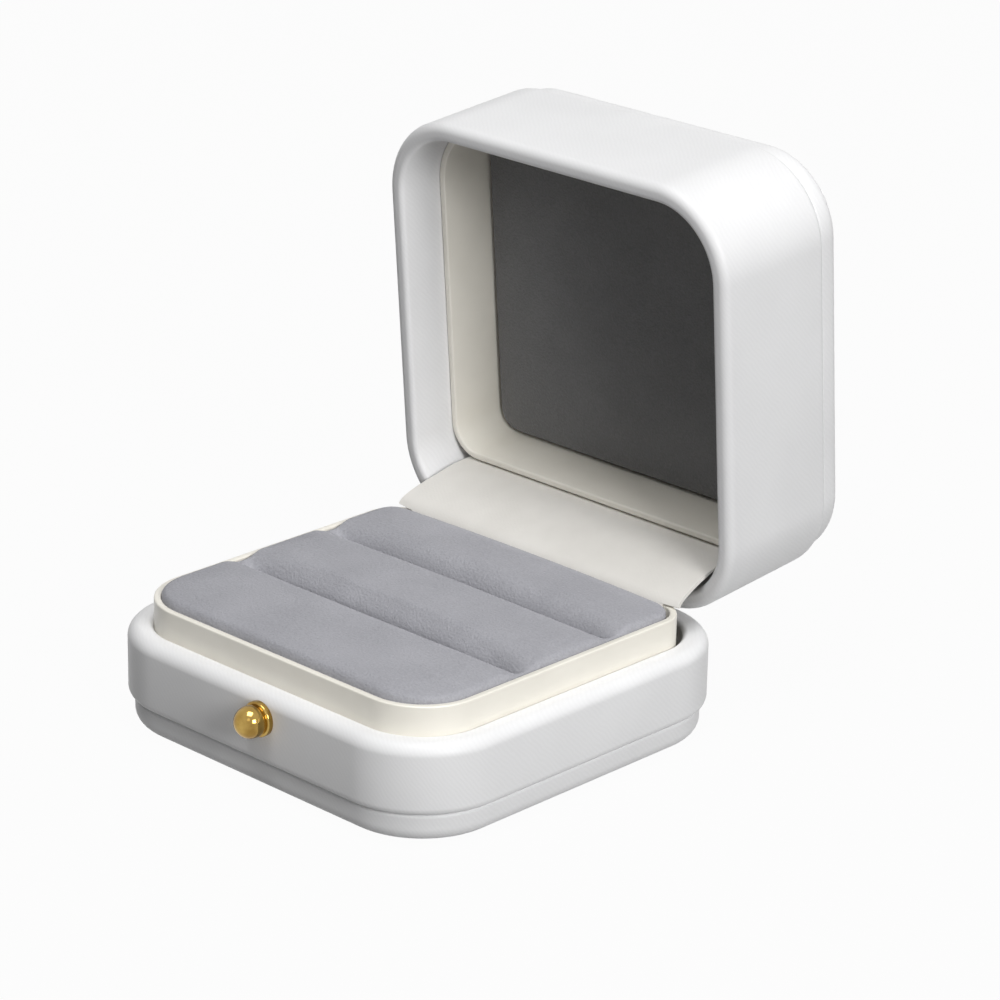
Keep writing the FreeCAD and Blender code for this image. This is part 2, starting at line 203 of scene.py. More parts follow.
def placeGroup(tree, group, vector, place, values):
    node = addNode(tree, "ShaderNodeGroup", place, node_tree=group)
    feed(tree, vector, node.inputs["Vector"])
    for label, value in values.items():
        node.inputs[label].default_value = value
    return node.outputs


def placeMottle(tree, vector, finish):
    scales = {"Patch Scale": finish["patch"], "Speck Scale": finish["speck"]}
    return placeGroup(tree, mottle, vector, (-1000, -200), scales)


def blendTones(tree, first, second, share):  # a share of the first and the rest of the second
    partOne = mathNode(tree, "MULTIPLY", first, share, (-800, 200))
    partTwo = mathNode(tree, "MULTIPLY", second, 1 - share, (-800, 0))
    return mathNode(tree, "ADD", partOne, partTwo, (-650, 100))


def dressShader(tree, finish, tone, gloss, relief):
    # colour follows tone, roughness follows gloss and the bump follows relief
    shader = tree.nodes["Principled BSDF"]
    ramp = addNode(tree, "ShaderNodeValToRGB", (-450, 200))
    colours = (finish["dark"], finish["light"])
    for element, stop, colour in zip(ramp.color_ramp.elements, finish["stops"], colours):
        element.position = stop
        element.color = (*colour, 1.0)
    feed(tree, tone, ramp.inputs["Fac"])
    feed(tree, ramp.outputs["Color"], shader.inputs["Base Color"])
    band = addNode(tree, "ShaderNodeMapRange", (-450, -100))
    band.inputs["To Min"].default_value, band.inputs["To Max"].default_value = finish["rough"]
    feed(tree, gloss, band.inputs["Value"])
    feed(tree, band.outputs["Result"], shader.inputs["Roughness"])
    for label, value in finish["settings"].items():
        shader.inputs[label].default_value = value
    if finish["bump"]:
        bump = addNode(tree, "ShaderNodeBump", (-300, -400))
        distance, strength = finish["bump"]
        bump.inputs["Distance"].default_value = distance
        bump.inputs["Strength"].default_value = strength
        feed(tree, relief, bump.inputs["Height"])
        feed(tree, bump.outputs["Normal"], shader.inputs["Normal"])


def leatherette(name, finish):
    material, tree, vector = startMaterial(name)
    grain = placeGroup(tree, silkLine, vector, (-1000, 200), finish["emboss"])
    patches = placeMottle(tree, vector, finish)
    tone = blendTones(tree, grain["Shade"], patches["Patch"], finish["grainShare"])
    dressShader(tree, finish, tone, patches["Speck"], grain["Height"])
    return material


def mottled(name, finish):
    material, tree, vector = startMaterial(name)
    if "stretch" in finish:
        along = addNode(tree, "ShaderNodeMapping", (-1150, 0))
        along.inputs["Scale"].default_value = finish["stretch"]
        feed(tree, vector, along.inputs["Vector"])
        vector = along.outputs["Vector"]
    patches = placeMottle(tree, vector, finish)
    tone = blendTones(tree, patches["Patch"], patches["Speck"], finish["patchShare"])
    dressShader(tree, finish, tone, patches[finish["gloss"]], patches["Speck"])
    return material


# In each finish: stops place the dark and the light colour on the tone, rough is the lowest and
# highest roughness, and bump is its distance and strength
pearlFinish = {
    "dark": (0.76, 0.76, 0.765), "light": (0.82, 0.82, 0.825), "stops": (0.25, 0.7),
    "patch": 60.0, "speck": 1500.0, "emboss": {}, "grainShare": 0.25,
    "rough": (0.34, 0.46), "bump": (0.02 * mm, 0.25),
    "settings": {"Specular IOR Level": 0.15, "Coat Weight": 0.03, "Coat Roughness": 0.25},
}
pearl = leatherette("pearlLeatherette", pearlFinish)

flapFinish = {
    "dark": (0.73, 0.71, 0.67), "light": (0.78, 0.76, 0.72), "stops": (0.3, 0.7),
    "patch": 130.0, "speck": 1500.0, "emboss": {"Line Depth": 0.15, "Pebble": 0.9},
    "grainShare": 0.0, "rough": (0.4, 0.55), "bump": (0.06 * mm, 0.5), "settings": {},
}
flapLeather = leatherette("ivoryLeatherette", flapFinish)

ivoryFinish = {
    "dark": (0.82, 0.79, 0.71), "light": (0.87, 0.84, 0.76), "stops": (0.3, 0.7),
    "patch": 90.0, "speck": 2200.0, "patchShare": 1.0, "gloss": "Speck",
    "rough": (0.26, 0.4), "bump": (0.02 * mm, 0.35),
    "settings": {"Coat Weight": 0.2, "Coat Roughness": 0.25},
}
ivory = mottled("ivoryCard", ivoryFinish)

velvetFinish = {
    "dark": (0.31, 0.31, 0.335), "light": (0.41, 0.41, 0.44), "stops": (0.3, 0.68),
    "patch": 95.0, "speck": 2800.0, "patchShare": 0.45, "gloss": "Patch",
    "rough": (0.85, 1.0), "bump": (0.25 * mm, 0.6),
    "settings": {"Specular IOR Level": 0.15, "Sheen Weight": 0.3, "Sheen Roughness": 0.45,
                 "Sheen Tint": (0.9, 0.9, 0.96, 1.0)},
}
# the lid pad's velvet is a darker copy of the same grey velvet: painted shade for the inside of the
# open lid
shadedLidVelvetFinish = {**velvetFinish, "dark": (0.15, 0.15, 0.15), "light": (0.20, 0.20, 0.20)}
velvet = mottled("greyVelvet", velvetFinish)
lidVelvet = mottled("lidVelvet", shadedLidVelvetFinish)

goldFinish = {
    "dark": (0.30, 0.18, 0.045), "light": (0.50, 0.34, 0.10), "stops": (0.3, 0.7),
    "patch": 400.0, "speck": 4000.0, "patchShare": 1.0, "gloss": "Speck",
    "rough": (0.08, 0.16), "bump": None, "settings": {"Metallic": 1.0},
}
gold = mottled("polishedGold", goldFinish)

steelFinish = {
    "dark": (0.50, 0.50, 0.51), "light": (0.66, 0.66, 0.66), "stops": (0.3, 0.7),
    "patch": 300.0, "speck": 6000.0, "patchShare": 0.0, "gloss": "Speck",
    "rough": (0.25, 0.45), "bump": (0.02 * mm, 0.3), "settings": {"Metallic": 1.0},
    "stretch": (0.08, 1.0, 1.0),  # brushed along the hinge
}
steel = mottled("hingeSteel", steelFinish)

coreFinish = {
    "dark": (0.78, 0.78, 0.76), "light": (0.86, 0.86, 0.84), "stops": (0.3, 0.7),
    "patch": 50.0, "speck": 1800.0, "patchShare": 1.0, "gloss": "Speck",
    "rough": (0.5, 0.65), "bump": (0.03 * mm, 0.3), "settings": {},
}
plastic = mottled("mouldedCore", coreFinish)

boardFinish = {
    "dark": (0.36, 0.36, 0.35), "light": (0.54, 0.54, 0.52), "stops": (0.3, 0.7),
    "patch": 220.0, "speck": 2600.0, "patchShare": 0.0, "gloss": "Patch",
    "rough": (0.8, 0.95), "bump": (0.06 * mm, 0.5), "settings": {},
}
board = mottled("greyBoard", boardFinish)

# Pieces that keep their CAD shape
for nodeName, material in {
    "base_core": plastic, "lid_core": plastic, "ring_pad_board": board, "lid_pad_board": board,
    "hinge_base_leaf": steel, "hinge_lid_leaf": steel, "hinge_pin": steel, "snap_spring": steel,
}.items():
    nodes[nodeName].data.materials.clear()
    nodes[nodeName].data.materials.append(material)
print("materials made")


# Sweeps round the box's rounded outline, as geometry nodes

def outlineSweepTree():
    tree = bpy.data.node_groups.new("outlineSweep", "GeometryNodeTree")
    for label, kind in (("Profile", "Object"), ("Width", "Float"), ("Depth", "Float"),
                        ("Corner Radius", "Float"), ("Rear Radius", "Float"),
                        ("Corner Steps", "Int"), ("Middle", "Vector"), ("Finish", "Material")):
        tree.interface.new_socket(label, in_out="INPUT", socket_type="NodeSocket" + kind)
    tree.interface.new_socket("Geometry", in_out="OUTPUT", socket_type="NodeSocketGeometry")
    given = addNode(tree, "NodeGroupInput", (-900, 0)).outputs
    outline = addNode(tree, "GeometryNodeCurvePrimitiveQuadrilateral", (-650, 200))
    fillet = addNode(tree, "GeometryNodeFilletCurve", (-450, 200), mode="POLY")
    moved = addNode(tree, "GeometryNodeTransform", (-250, 200))
    profile = addNode(tree, "GeometryNodeObjectInfo", (-450, -150))
    sweep = addNode(tree, "GeometryNodeCurveToMesh", (-50, 100))
    smooth = addNode(tree, "GeometryNodeSetShadeSmooth", (150, 100))
    realize = addNode(tree, "GeometryNodeRealizeInstances", (350, 100))
    finish = addNode(tree, "GeometryNodeSetMaterial", (550, 100))
    result = addNode(tree, "NodeGroupOutput", (750, 100))
    feed(tree, given["Width"], outline.inputs["Width"])
    feed(tree, given["Depth"], outline.inputs["Height"])
    feed(tree, outline.outputs["Curve"], fillet.inputs["Curve"])
    feed(tree, given["Corner Steps"], fillet.inputs["Count"])
    # the two corners at the hinge have a radius of their own
    place = addNode(tree, "GeometryNodeInputPosition", (-1100, -300))
    parts = addNode(tree, "ShaderNodeSeparateXYZ", (-900, -300))
    atRear = addNode(tree, "FunctionNodeCompare", (-700, -300), data_type="FLOAT",
                     operation="GREATER_THAN")
    radius = addNode(tree, "GeometryNodeSwitch", (-550, -50), input_type="FLOAT")
    feed(tree, place.outputs["Position"], parts.inputs["Vector"])
    feed(tree, parts.outputs["Y"], atRear.inputs["A"])
    feed(tree, atRear.outputs["Result"], radius.inputs["Switch"])
    feed(tree, given["Corner Radius"], radius.inputs["False"])
    feed(tree, given["Rear Radius"], radius.inputs["True"])
    feed(tree, radius.outputs["Output"], fillet.inputs["Radius"])
    feed(tree, fillet.outputs["Curve"], moved.inputs["Geometry"])
    feed(tree, given["Middle"], moved.inputs["Translation"])
    feed(tree, moved.outputs["Geometry"], sweep.inputs["Curve"])
    feed(tree, given["Profile"], profile.inputs["Object"])
    feed(tree, profile.outputs["Geometry"], sweep.inputs["Profile Curve"])
    feed(tree, sweep.outputs["Mesh"], smooth.inputs["Geometry"])
    feed(tree, smooth.outputs["Geometry"], realize.inputs["Geometry"])
    feed(tree, realize.outputs["Geometry"], finish.inputs["Geometry"])
    feed(tree, given["Finish"], finish.inputs["Material"])
    feed(tree, finish.outputs["Geometry"], result.inputs["Geometry"])
    return tree


outlineSweep = outlineSweepTree()


def linkNew(name, data):
    piece = bpy.data.objects.new(name, data)
    scene.collection.objects.link(piece)
    return piece


def newMesh(name, form):  # a mesh from a finished form
    mesh = bpy.data.meshes.new(name)
    form.to_mesh(mesh)
    form.free()
    return mesh


def tracedMesh(piece):  # what the modifiers or the curve make
    graph = bpy.context.evaluated_depsgraph_get()
    return bpy.data.meshes.new_from_object(piece.evaluated_get(graph))


def plainMesh(piece):  # puts what the modifiers make in place of the piece's mesh
    mesh = tracedMesh(piece)
    piece.modifiers.clear()
    old = piece.data
    piece.data = mesh
    bpy.data.meshes.remove(old)
    mesh.name = piece.name


def arc(across, height, radius, start, end, steps):  # points of a round edge, angles in degrees
    points = []
    for step in range(steps + 1):
        angle = math.radians(start + (end - start) * step / steps)
        points.append((across + radius * math.cos(angle), height + radius * math.sin(angle)))
    return points


def sweepOutline(name, profile, closed, low, high, radius, material, steps, rearRadius=None):
    # profile points are (inset from the outline, height)
    curve = bpy.data.curves.new(name + "Profile", "CURVE")
    spline = curve.splines.new("POLY")
    spline.points.add(len(profile) - 1)
    for point, (inset, height) in zip(spline.points, profile):
        point.co = (-inset, -height, 0, 1)
    spline.use_cyclic_u = closed
    profileObject = linkNew(name + "Profile", curve)
    piece = linkNew(name, bpy.data.meshes.new(name))
    modifier = piece.modifiers.new("outlineSweep", "NODES")
    modifier.node_group = outlineSweep
    values = {
        "Profile": profileObject, "Width": high.x - low.x, "Depth": high.y - low.y,
        "Corner Radius": radius, "Rear Radius": rearRadius or radius, "Corner Steps": steps,
        "Middle": ((low.x + high.x) / 2, (low.y + high.y) / 2, 0), "Finish": material,
    }
    for socket in outlineSweep.interface.items_tree:
        if socket.in_out == "INPUT":
            modifier[socket.identifier] = values[socket.name]
    plainMesh(piece)
    bpy.data.objects.remove(profileObject)
    return piece


weldDistance = 0.0005 * mm


def finishMesh(piece, matrix=None, creaseAngle=40.0, capEnds=False):
    # closes open ends, turns faces outwards, puts the piece in its place, marks its crisp edges
    form = bmesh.new()
    form.from_mesh(piece.data)
    bmesh.ops.remove_doubles(form, verts=form.verts, dist=weldDistance)
    if capEnds:
        bmesh.ops.holes_fill(form, edges=[edge for edge in form.edges if edge.is_boundary])
    if matrix is not None:
        form.transform(matrix)
    bmesh.ops.recalc_face_normals(form, faces=form.faces)
    form.to_mesh(piece.data)
    form.free()
    piece.data.shade_smooth()
    piece.data.set_sharp_from_angle(angle=math.radians(creaseAngle))


def dress(piece, body, slot, *replaced):
    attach(piece, body)
    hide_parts(*replaced)


def carve(piece, low, high):  # cuts a square notch out of a piece
    form = bmesh.new()
    bmesh.ops.create_cube(form, size=1.0)
    size = high - low
    form.transform(Matrix.Translation((low + high) / 2) @ Matrix.Diagonal((*size, 1.0)))
    cutter = linkNew("notch", newMesh("notch", form))
    cut = piece.modifiers.new("notch", "BOOLEAN")
    cut.object = cutter
    cut.operation = "DIFFERENCE"
    cut.solver = "EXACT"
    plainMesh(piece)
    bpy.data.objects.remove(cutter)


# Wrapped trays

wrapSizes = {
    "skin": 0.7 * mm, "seamRadius": 1.3 * mm, "turnUnder": 6.0 * mm, "turnIn": 8.0 * mm,
    "innerRound": 0.9 * mm, "noseSteps": 14, "seamSteps": 8, "cornerSteps": 28, "glue": 0.05 * mm,
}


def trayProfile(wall, foot, rim):
    # from the turned-under edge at the panel, up the wall, over the rim and down inside
    sizes = wrapSizes
    skin, seam, inner = sizes["skin"], sizes["seamRadius"], sizes["innerRound"]
    steps = sizes["noseSteps"]
    under = seam + sizes["turnUnder"]
    inside = foot + sizes["turnIn"]
    nose = wall / 2
    points = [(under, foot + skin), (under, foot)]
    points += arc(seam, foot + seam, seam, 270, 180, sizes["seamSteps"])
    points += arc(nose, rim - nose, nose, 180, 90, steps)
    points += arc(wall - inner, rim - inner, inner, 90, 0, steps)
    points += [(wall, inside), (wall - skin, inside)]
    points += arc(wall - inner, rim - inner, inner - skin, 0, 90, steps)
    points += arc(nose, rim - nose, nose - skin, 90, 180, steps)
    return points + [(skin, foot + skin)]


def wrapPiece(name, low, high, foot, rim, collar):
    wall = high.x - collar.x - wrapSizes["glue"]
    return sweepOutline(name, trayProfile(wall, foot, rim), True, low, high, radiusInside(high),
                        pearl, wrapSizes["cornerSteps"])


# The notches that the hinge needs in both wraps
hingeRoom = {
    "side": 0.3 * mm, "knuckle": 0.3 * mm, "reach": 8.5 * mm, "lap": 0.5 * mm, "past": 1.0 * mm,
}
leafLow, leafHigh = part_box("hinge_base_leaf")
notchLeft = leafLow.x - hingeRoom["side"]
notchRight = leafHigh.x + hingeRoom["side"]

collarLow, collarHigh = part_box("base_collar")
baseWrap = wrapPiece("baseWrap", boxLow, boxHigh, boxLow.z, boxHigh.z, collarHigh)
finishMesh(baseWrap)
carve(baseWrap, Vector((notchLeft, boxHigh.y - hingeRoom["reach"], leafLow.z - hingeRoom["side"])),
      Vector((notchRight, leafLow.y + hingeRoom["lap"], boxHigh.z + hingeRoom["past"])))
finishMesh(baseWrap)
dress(baseWrap, "base", "pearl_leatherette", "base_cover")

# the lid's wrap is drawn rim up from a level of zero, then turned over into the shut place
lidCollarLow, lidCollarHigh = shutBox("lid_collar")
lidWrap = wrapPiece("lidWrap", lidLow, lidHigh, 0, lidHigh.z - lidLow.z, lidCollarHigh)
finishMesh(lidWrap, turnOver(lidHigh.z))
carve(lidWrap, Vector((notchLeft, lidHigh.y - hingeRoom["reach"], lidLow.z - hingeRoom["past"])),
      Vector((notchRight, lidHigh.y + hingeRoom["past"], leafHigh.z + hingeRoom["knuckle"])))
finishMesh(lidWrap, openLid)
dress(lidWrap, "lid", "pearl_leatherette", "lid_cover")
print("wraps made")


# Bottom and top panels

panelSizes = {
    "edgeRadius": 2.3 * mm, "seamRadius": 0.7 * mm, "edgeSteps": 12, "seamSteps": 6,
    "cornerSteps": 28,
}


def panelProfile(height):
    edge, seam = panelSizes["edgeRadius"], panelSizes["seamRadius"]
    points = [(edge, 0)]
    points += arc(edge, edge, edge, 270, 180, panelSizes["edgeSteps"])[1:]
    points += arc(seam, height - seam, seam, 180, 90, panelSizes["seamSteps"])
    return points + [(edge, height)]


def panelPiece(name, low, high, matrix, body, node):
    piece = sweepOutline(name, panelProfile(high.z - low.z), False, low, high, radiusInside(high),
                         pearl, panelSizes["cornerSteps"])
    finishMesh(piece, matrix, capEnds=True)
    dress(piece, body, "pearl_leatherette", node)


panelPiece("bottomPanel", *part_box("bottom_panel"), None, "base", "bottom_panel")
topLow, topHigh = shutBox("top_panel")
panelPiece("topPanel", topLow, topHigh, openLid @ turnOver(topHigh.z), "lid", "top_panel")
print("panels made")


# Ivory collars

collarSizes = {
    "thickness": 1.1 * mm, "lipRadius": 0.25 * mm, "lipSteps": 5, "cornerSteps": 24,
    "rearRadius": 5.5 * mm, "setDown": 0.7 * mm,
}


def collarProfile(height):
    thickness, lip, steps = (collarSizes[key] for key in ("thickness", "lipRadius", "lipSteps"))
    points = [(0, 0)] + arc(lip, height - lip, lip, 180, 90, steps)
    points += arc(thickness - lip, height - lip, lip, 90, 0, steps)
    return points + [(thickness, 0)]


def collarPiece(name, low, high, matrix, body, node):
    piece = sweepOutline(name, collarProfile(high.z - low.z), True, low, high, radiusInside(high),
                         ivory, collarSizes["cornerSteps"], collarSizes["rearRadius"])
    finishMesh(piece, matrix)
    dress(piece, body, "ivory_collar", node)


collarHigh.z -= collarSizes["setDown"]
collarLift = Matrix.Translation((0, 0, collarLow.z))
collarPiece("baseCollar", collarLow, collarHigh, collarLift, "base", "base_collar")
lidCollarTurn = openLid @ turnOver(lidCollarHigh.z)
collarPiece("lidCollar", lidCollarLow, lidCollarHigh, lidCollarTurn, "lid", "lid_collar")
print("collars made")


# Pads: a grid bent to the rounded outline, with a soft edge and sides drawn in

def evenLines(low, high, step):
    count = max(2, round((high - low) / step))
    return [low + (high - low) * i / count for i in range(count + 1)]


def fillRows(form, rows, flipped=False):  # faces between neighbouring rows of points
    for lower, upper in zip(rows, rows[1:]):
        for i in range(len(lower) - 1):
            corners = (lower[i], lower[i + 1], upper[i + 1], upper[i])
            form.faces.new(corners[::-1] if flipped else corners)


def padMesh(name, low, high, frontRadius, rearRadius, xLines, yLines, topAt, sideLevels):
    # topAt gives the height over a point, sideLevels the rows down the side as (drop share, inset)
    middle = (low + high) / 2
    half = (high - low) / 2

    def pastCorner(x, y):  # the corner's radius and how far a point lies past the corner's centre
        radius = rearRadius if y > middle.y else frontRadius
        return radius, abs(x - middle.x) - (half.x - radius), abs(y - middle.y) - (half.y - radius)

    def roundCorner(x, y):
        radius, overX, overY = pastCorner(x, y)
        dx, dy = x - middle.x, y - middle.y
        if overX > 0 and overY > 0:
            a, b = overX / radius, overY / radius
            overX = radius * a * math.sqrt(1 - b * b / 2)
            overY = radius * b * math.sqrt(1 - a * a / 2)
            dx = math.copysign(half.x - radius + overX, dx)
            dy = math.copysign(half.y - radius + overY, dy)
        return middle.x + dx, middle.y + dy

    def edgeDistance(x, y):
        radius, overX, overY = pastCorner(x, y)
        outside = math.hypot(max(overX, 0), max(overY, 0))
        return radius - (outside + min(max(overX, overY), 0))

    form = bmesh.new()
    grid = []
    for y in yLines:
        row = []
        for x in xLines:
            px, py = roundCorner(x, y)
            row.append(form.verts.new((px, py, topAt(px, py, max(edgeDistance(px, py), 0.0)))))
        grid.append(row)
    fillRows(form, grid)
    loop = grid[0][:-1] + [row[-1] for row in grid[:-1]]
    loop += grid[-1][:0:-1] + [row[0] for row in grid[:0:-1]]
    previous = loop
    for share, inset in sideLevels:
        ring = []
        for vertex in loop:
            x, y, z = vertex.co
            inward = Vector((middle.x - x, middle.y - y, 0)).normalized() * inset
            ring.append(form.verts.new((x + inward.x, y + inward.y, z + (low.z - z) * share)))
        for i in range(len(ring)):
            j = (i + 1) % len(ring)
            form.faces.new((previous[i], ring[i], ring[j], previous[j]))
        previous = ring
    foot = dict(zip(loop, previous))  # the underside repeats the grid inside the last row
    under = [[foot.get(v) or form.verts.new((v.co.x, v.co.y, low.z)) for v in row] for row in grid]
    fillRows(form, under, flipped=True)
    bmesh.ops.recalc_face_normals(form, faces=form.faces)
    return newMesh(name, form)


def softEdge(distance, radius):  # drop of a quarter-round edge
    if distance >= radius:
        return 0.0
    return radius - math.sqrt(max(0.0, radius ** 2 - (radius - distance) ** 2))


fillSizes = {
    "swell": 0.5 * mm, "scale": 20.0, "frames": 16, "pressure": 3.0, "quality": 6,
    "stiffness": 15, "bending": 3,
}


def swellPad(piece, held):
    # cloth under pressure on a scaled-up copy, then each point's move is capped
    sizes = fillSizes
    scale, swell = sizes["scale"], sizes["swell"]
    rest = [vertex.co.copy() for vertex in piece.data.vertices]
    blown = linkNew(piece.name + "Blown", piece.data.copy())
    blown.data.transform(Matrix.Scale(scale, 4))
    group = blown.vertex_groups.new(name="held")
    group.add(held, 1.0, "REPLACE")
    cloth = blown.modifiers.new("cloth", "CLOTH")
    cloth.settings.use_pressure = True
    cloth.settings.uniform_pressure_force = sizes["pressure"]
    cloth.settings.effector_weights.gravity = 0.0
    cloth.settings.vertex_group_mass = "held"
    cloth.settings.quality = sizes["quality"]
    cloth.settings.tension_stiffness = sizes["stiffness"]
    cloth.settings.compression_stiffness = sizes["stiffness"]
    cloth.settings.bending_stiffness = sizes["bending"]
    cloth.point_cache.frame_start = 1
    cloth.point_cache.frame_end = sizes["frames"]
    for step in range(1, sizes["frames"] + 1):
        scene.frame_set(step)
    swollen = tracedMesh(blown)
    for vertex, start, end in zip(piece.data.vertices, rest, swollen.vertices):
        move = end.co / scale - start
        if move.length > swell:
            move *= swell / move.length
        vertex.co = start + move
    bpy.data.objects.remove(blown)
    bpy.data.meshes.remove(swollen)
    scene.frame_set(1)


def softPad(name, mesh, material, held):
    # held: the points that the collar and the board keep in place, or none for an unfilled pad
    mesh.materials.append(material)
    piece = linkNew(name, mesh)
    if held:
        swellPad(piece, held)
    smooth = piece.modifiers.new("smooth", "SUBSURF")
    smooth.levels = 1
    smooth.render_levels = 1
    plainMesh(piece)
    piece.data.shade_smooth()
    return piece


ringPadSizes = {
    "edgeRadius": 0.8 * mm, "crown": 0.45 * mm, "rearRadius": 4.1 * mm, "press": 0.25 * mm,
    "slotPlaces": (-8.6 * mm, 10.4 * mm), "slotDepth": 6.5 * mm, "slotEndDepth": 0.7 * mm,
    "slotHalf": 0.4 * mm, "slotEnd": 0.4 * mm, "slotFade": 9.0 * mm, "shoulder": 3.8 * mm,
    "gridStep": 0.6 * mm, "slotBand": 4.5 * mm,  # grid lines in the band stand closer together
    "slotLines": [0.0, 0.2, 0.4, 0.55, 0.75, 1.0, 1.3, 1.7, 2.1, 2.6, 3.1, 3.6, 4.2],
    "sideLevels": [(0.15, 0.0), (0.45, 0.05 * mm), (0.75, 0.1 * mm), (1.0, 0.1 * mm)],
    "heldDepth": 3.0 * mm, "heldEdge": 0.8 * mm,
}
padLow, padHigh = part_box("ring_pad_velvet")
# the velvet presses against the collar at the front and sides
padLow += Vector((-ringPadSizes["press"], -ringPadSizes["press"], 0))
padHigh += Vector((ringPadSizes["press"], 0, -collarSizes["setDown"]))


def slotDrop(x, y):
    # how far the top dips at a slot: round shoulders, then the slit, both shallower near the ends
    sizes = ringPadSizes
    shoulder = sizes["shoulder"]
    toEnd = max(0.0, min(1.0, (padHigh.x - sizes["slotEnd"] - abs(x)) / sizes["slotFade"]))
    depth = sizes["slotEndDepth"] + (sizes["slotDepth"] - sizes["slotEndDepth"]) * toEnd
    drop = 0.0
    for place in sizes["slotPlaces"]:
        away = abs(y - place) - sizes["slotHalf"]
        if away <= 0:
            drop = max(drop, depth)
        elif away < shoulder:
            run = shoulder - away
            curve = shoulder - math.sqrt(max(0.0, shoulder ** 2 - run ** 2))
            drop = max(drop, depth * math.tanh(curve / depth))
    return drop


def ringPadTop(x, y, distance):
    crowned = padHigh.z - ringPadSizes["crown"] * (x / padHigh.x) ** 2
    return crowned - slotDrop(x, y) - softEdge(distance, ringPadSizes["edgeRadius"])


def ringPadLines():  # grid lines from front to back
    sizes = ringPadSizes
    places = sizes["slotPlaces"]
    lines = [place + sign * step * mm for place in places for step in sizes["slotLines"]
             for sign in (-1, 1)]
    for y in evenLines(padLow.y, padHigh.y, sizes["gridStep"]):
        if all(abs(y - place) > sizes["slotBand"] for place in places):
            lines.append(y)
    return sorted(set(round(line, 7) for line in lines))


def ringPadHeld(mesh):
    edge = ringPadSizes["heldEdge"]
    level = collarHigh.z - ringPadSizes["heldDepth"]
    front, rear, side = padLow.y + edge, padHigh.y - edge, padHigh.x - edge
    return [v.index for v in mesh.vertices
            if v.co.z < level or abs(v.co.x) > side or not front < v.co.y < rear]


ringPadForm = padMesh(
    "ringPad", padLow, padHigh, radiusInside(padHigh), ringPadSizes["rearRadius"],
    evenLines(padLow.x, padHigh.x, ringPadSizes["gridStep"]), ringPadLines(), ringPadTop,
    ringPadSizes["sideLevels"])
ringPad = softPad("ringPad", ringPadForm, velvet, ringPadHeld(ringPadForm))
dress(ringPad, "base", "grey_velvet", "ring_pad_velvet", "foam_roll_front", "foam_roll_middle",
      "foam_roll_rear")
print("ring pad made")

lidPadSizes = {
    "edgeRadius": 0.7 * mm, "crown": 0.15 * mm, "crownRun": 12 * mm, "gridStep": 1.2 * mm,
    "sideLevels": [(0.5, 0.0), (1.0, 0.0)], "creaseAngle": 60.0,
}
lidPadLow, lidPadHigh = shutBox("lid_pad_velvet")
lidPadDepth = lidPadHigh.z - lidPadLow.z


def lidPadTop(x, y, distance):
    sizes = lidPadSizes
    crown = sizes["crown"] * (1 - min(1.0, distance / sizes["crownRun"])) ** 2
    return lidPadDepth - crown - softEdge(distance, sizes["edgeRadius"])


# drawn face up from a level of zero, then turned over with the lid
lidPadForm = padMesh(
    "lidPad", Vector((lidPadLow.x, lidPadLow.y, 0)),
    Vector((lidPadHigh.x, lidPadHigh.y, lidPadDepth)),
    radiusInside(lidPadHigh), ringPadSizes["rearRadius"],
    evenLines(lidPadLow.x, lidPadHigh.x, lidPadSizes["gridStep"]),
    evenLines(lidPadLow.y, lidPadHigh.y, lidPadSizes["gridStep"]), lidPadTop,
    lidPadSizes["sideLevels"])
# the lid pad takes the darker velvet copy, which is painted shade
lidPad = softPad("lidPad", lidPadForm, lidVelvet, [])
finishMesh(lidPad, openLid @ turnOver(lidPadHigh.z), creaseAngle=lidPadSizes["creaseAngle"])
dress(lidPad, "lid", "grey_velvet", "lid_pad_velvet")
print("lid pad made")


# Flap over the hinge

flapSizes = {
    "thickness": 0.5 * mm, "rise": 0.8 * mm, "riseShares": (0.25, 0.75), "lidTail": 5.0 * mm,
    "collarGap": 0.35 * mm, "browRise": 0.55 * mm, "lidGap": 0.6 * mm,
    "tailHalf": 27.0 * mm, "wideHalf": 30.2 * mm, "narrowHalf": 29.2 * mm,
    "tailRise": 0.2 * mm, "tailReach": 1.0 * mm, "acrossStep": 1.0 * mm, "lineSteps": 12,
    "creaseAngle": 50.0,
}
flapY = collarHigh.y - collarSizes["thickness"] - flapSizes["collarGap"]
flapLidY = lidCollarHigh.y + flapSizes["lidGap"]
brow = Vector((0, flapY, collarHigh.z + flapSizes["browRise"]))
lidEdge = openLid @ Vector((0, flapLidY, lidCollarLow.z))
lidEnd = openLid @ Vector((0, flapLidY, lidCollarLow.z + flapSizes["lidTail"]))


def flapLine():  # points up inside the collar, over its edge and into the lid
    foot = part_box("hinge_cover")[0].z
    across = lidEdge - brow
    lift = Vector((0, -across.z, across.y)).normalized() * flapSizes["rise"]
    route = [Vector((0, flapY, foot)), Vector((0, flapY, (foot + brow.z) / 2)), brow]
    route += [brow + across * share + lift for share in flapSizes["riseShares"]]
    route += [lidEdge, (lidEdge + lidEnd) / 2, lidEnd]
    curve = bpy.data.curves.new("flapLine", "CURVE")
    curve.dimensions = "3D"
    curve.resolution_u = flapSizes["lineSteps"]
    spline = curve.splines.new("NURBS")
    spline.points.add(len(route) - 1)
    for point, place in zip(spline.points, route):
        point.co = (*place, 1)
    spline.order_u = 3
    spline.use_endpoint_u = True
    line = linkNew("flapLine", curve)
    traced = tracedMesh(line)
    points = [vertex.co.copy() for vertex in traced.vertices]
    bpy.data.objects.remove(line)
    bpy.data.meshes.remove(traced)
    return points


def flapHalfWidth(point):
    # narrow inside the collar, widest at its top edge, then tapering to the hinge
    s = flapSizes
    if point.z < collarHigh.z + s["tailRise"] and point.y < collarHigh.y - s["tailReach"]:
        return s["tailHalf"]
    taper = max(0.0, min(1.0, (point.y - flapY) / (axisPoint.y - flapY)))
    return s["wideHalf"] + (s["narrowHalf"] - s["wideHalf"]) * taper


